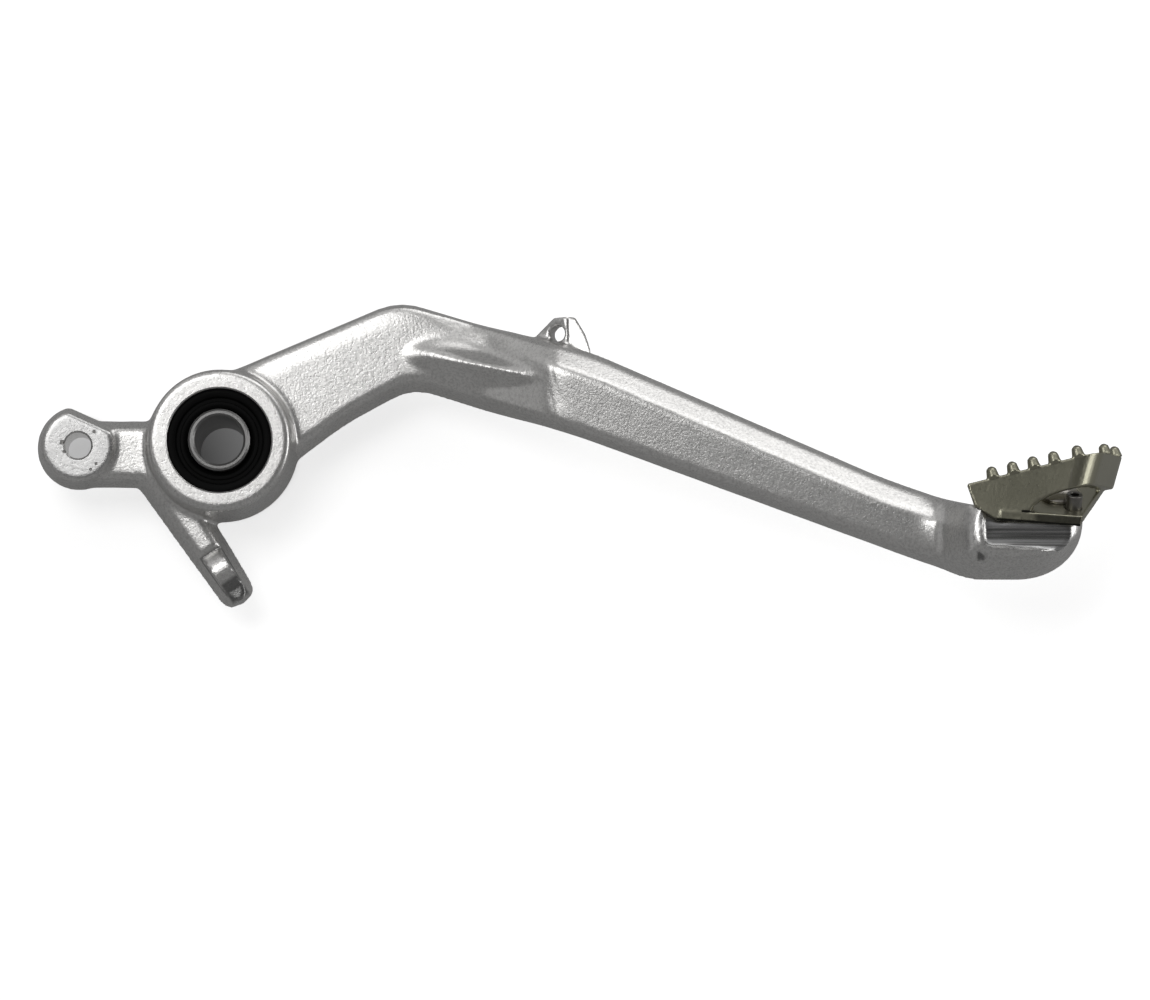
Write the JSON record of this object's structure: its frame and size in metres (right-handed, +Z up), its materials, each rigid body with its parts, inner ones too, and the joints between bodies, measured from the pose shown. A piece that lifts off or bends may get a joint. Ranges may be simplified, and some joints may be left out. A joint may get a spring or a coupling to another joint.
{
  "type": "rear brake pedal",
  "caption": "Forged motorbike rear brake pedal with a needle-bearing pivot, push-rod eye, stop finger, spring eye and a folded toothed step plate.",
  "frame": {"origin": "on the pivot axis, at the middle of the pivot boss", "axes": "+X forward along the lever toward the step, +Z up as mounted, -Y to the outer side of the motorbike; the pivot axis runs along Y"},
  "size_m": [0.2706, 0.0454, 0.0764],
  "materials": {
    "forged_silver": "silver-painted forging with a fine grain, machined boss faces",
    "dark_nickel": "dark satin nickel",
    "zinc_screw": "bright zinc",
    "pin_steel": "dark spring steel",
    "seal_rubber": "black nitrile rubber",
    "bearing_steel": "ground bearing steel",
    "sleeve_steel": "satin ground steel"
  },
  "bodies": {
    "lever": {"lever": "forged_silver", "step_plate": "dark_nickel", "step_screw": "zinc_screw", "locating_pin": "pin_steel", "outer_seal": "seal_rubber", "inner_seal": "seal_rubber", "bearing_shell": "bearing_steel"},
    "sleeve": {"pivot_sleeve": "sleeve_steel"},
    "needles": {"needle_cage": "bearing_steel", "needle_rollers": "bearing_steel"}
  },
  "joints": [
    {"name": "pivot", "type": "hinge", "parent": "lever", "child": "sleeve", "pos_m": [0, 0, 0], "axis": [0, 1, 0], "continuous": true},
    {"name": "needle_orbit", "type": "hinge", "parent": "lever", "child": "needles", "pos_m": [0, 0, 0], "axis": [0, 1, 0], "continuous": true}
  ],
  "couplings": [
    {"joint": "needle_orbit", "follows": "pivot", "ratio": 0.4444}
  ]
}
